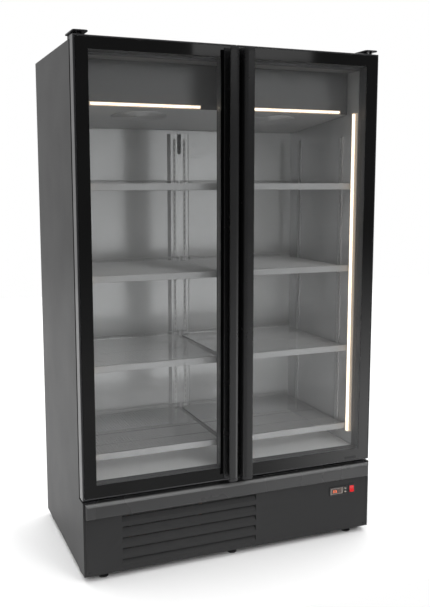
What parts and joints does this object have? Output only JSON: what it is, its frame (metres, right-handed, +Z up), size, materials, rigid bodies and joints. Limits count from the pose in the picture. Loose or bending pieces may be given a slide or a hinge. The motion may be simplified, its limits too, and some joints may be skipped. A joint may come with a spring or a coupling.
{
  "type": "glass door merchandiser",
  "caption": "Upright refrigerated display cabinet with two hinged glass doors, full-height grips, lit shelves and a louvred machine compartment below.",
  "frame": {"origin": "centre of the bounding box's footprint, on the floor under the feet", "axes": "+Z up; the doors face -Y; +X is to the right as seen from the front"},
  "size_m": [1.25, 0.766, 2.034],
  "materials": {
    "body_paint": "satin anthracite powder coat",
    "sill_paint": "satin dark grey",
    "sill_cap": "satin dark grey moulding",
    "bare_steel": "satin zinc coat",
    "dark_steel": "satin black",
    "hinge_paint": "satin black",
    "frame_plastic": "matte dark grey",
    "liner": "satin mid grey",
    "shelf_wire": "satin light grey coated wire",
    "fins": "satin",
    "foam": "matte rigid foam",
    "lamp": "frosted lamp cover",
    "door_border": "gloss black",
    "glass": "gloss clear",
    "gasket": "matte",
    "grip": "satin dark grey",
    "black_plastic": "matte",
    "red_plastic": "gloss",
    "button": "satin warm grey",
    "foot": "matte",
    "wheel": "matte"
  },
  "bodies": {
    "cabinet": {"left_side_panel": "body_paint", "right_side_panel": "body_paint", "top_panel": "body_paint", "back_panel": "bare_steel", "insulation_foam": "foam", "inner_liner": "liner", "face_frame": "frame_plastic", "centre_mullion": "liner", "rear_column": "liner", "left_shelf_1": "shelf_wire", "left_shelf_2": "shelf_wire", "left_shelf_3": "shelf_wire", "left_shelf_4": "shelf_wire", "right_shelf_1": "shelf_wire", "right_shelf_2": "shelf_wire", "right_shelf_3": "shelf_wire", "right_shelf_4": "shelf_wire", "evaporator_housing": "liner", "evaporator_coil": "fins", "left_horizontal_lamp": "lamp", "left_vertical_lamp": "lamp", "left_top_hinge": "hinge_paint", "left_bottom_hinge": "hinge_paint", "right_horizontal_lamp": "lamp", "right_vertical_lamp": "lamp", "right_top_hinge": "hinge_paint", "right_bottom_hinge": "hinge_paint", "base_tray": "dark_steel", "lower_front_panel": "body_paint", "sill_bar": "sill_paint", "left_sill_cap": "sill_cap", "right_sill_cap": "sill_cap", "condenser_unit": "fins", "compressor": "dark_steel", "mains_inlet_box": "black_plastic", "controller": "black_plastic", "switch_bezel": "black_plastic"},
    "left_door": {"left_door_frame": "door_border", "left_front_pane": "glass", "left_rear_pane": "glass", "left_gasket": "gasket", "left_grip": "grip"},
    "right_door": {"right_door_frame": "door_border", "right_front_pane": "glass", "right_rear_pane": "glass", "right_gasket": "gasket", "right_grip": "grip"},
    "switch_rocker": {"switch_rocker": "red_plastic"},
    "button_up": {"button_up": "button"},
    "button_down": {"button_down": "button"},
    "condenser_fan": {"condenser_fan": "black_plastic"},
    "left_evaporator_fan": {"left_evaporator_fan": "black_plastic"},
    "right_evaporator_fan": {"right_evaporator_fan": "black_plastic"},
    "left_foot": {"left_foot": "foot"},
    "centre_foot": {"centre_foot": "foot"},
    "right_foot": {"right_foot": "foot"},
    "left_front_wheel": {"left_front_wheel": "wheel"},
    "left_rear_wheel": {"left_rear_wheel": "wheel"},
    "right_front_wheel": {"right_front_wheel": "wheel"},
    "right_rear_wheel": {"right_rear_wheel": "wheel"}
  },
  "joints": [
    {"name": "left_door_hinge", "type": "hinge", "parent": "cabinet", "child": "left_door", "pos_m": [-0.6, -0.309, 1.171], "axis": [0, 0, -1], "range_deg": [0, 110]},
    {"name": "right_door_hinge", "type": "hinge", "parent": "cabinet", "child": "right_door", "pos_m": [0.6, -0.309, 1.171], "axis": [0, 0, 1], "range_deg": [0, 110]},
    {"name": "rocker_pivot", "type": "hinge", "parent": "cabinet", "child": "switch_rocker", "pos_m": [0.542, -0.33, 0.2035], "axis": [1, 0, 0], "range_deg": [0, 14]},
    {"name": "button_up_press", "type": "slide", "parent": "cabinet", "child": "button_up", "axis": [0, 1, 0], "range_m": [0, 0.0008], "stiffness_N_per_m": 400, "springref_m": -0.0005},
    {"name": "button_down_press", "type": "slide", "parent": "cabinet", "child": "button_down", "axis": [0, 1, 0], "range_m": [0, 0.0008], "stiffness_N_per_m": 400, "springref_m": -0.0005},
    {"name": "condenser_fan_spin", "type": "hinge", "parent": "cabinet", "child": "condenser_fan", "pos_m": [-0.29, -0.194, 0.18], "axis": [0, 1, 0], "continuous": true},
    {"name": "left_evaporator_fan_spin", "type": "hinge", "parent": "cabinet", "child": "left_evaporator_fan", "pos_m": [-0.29, -0.003, 1.843], "axis": [0, 0, 1], "continuous": true},
    {"name": "right_evaporator_fan_spin", "type": "hinge", "parent": "cabinet", "child": "right_evaporator_fan", "pos_m": [0.29, -0.003, 1.843], "axis": [0, 0, 1], "continuous": true},
    {"name": "left_foot_screw", "type": "slide", "parent": "cabinet", "child": "left_foot", "axis": [0, 0, -1], "range_m": [0, 0.015]},
    {"name": "centre_foot_screw", "type": "slide", "parent": "cabinet", "child": "centre_foot", "axis": [0, 0, -1], "range_m": [0, 0.015]},
    {"name": "right_foot_screw", "type": "slide", "parent": "cabinet", "child": "right_foot", "axis": [0, 0, -1], "range_m": [0, 0.015]},
    {"name": "left_front_wheel_roll", "type": "hinge", "parent": "cabinet", "child": "left_front_wheel", "pos_m": [-0.6084, -0.241, 0.05], "axis": [1, 0, 0], "continuous": true},
    {"name": "left_rear_wheel_roll", "type": "hinge", "parent": "cabinet", "child": "left_rear_wheel", "pos_m": [-0.6084, 0.307, 0.05], "axis": [1, 0, 0], "continuous": true},
    {"name": "right_front_wheel_roll", "type": "hinge", "parent": "cabinet", "child": "right_front_wheel", "pos_m": [0.6084, -0.241, 0.05], "axis": [1, 0, 0], "continuous": true},
    {"name": "right_rear_wheel_roll", "type": "hinge", "parent": "cabinet", "child": "right_rear_wheel", "pos_m": [0.6084, 0.307, 0.05], "axis": [1, 0, 0], "continuous": true}
  ]
}
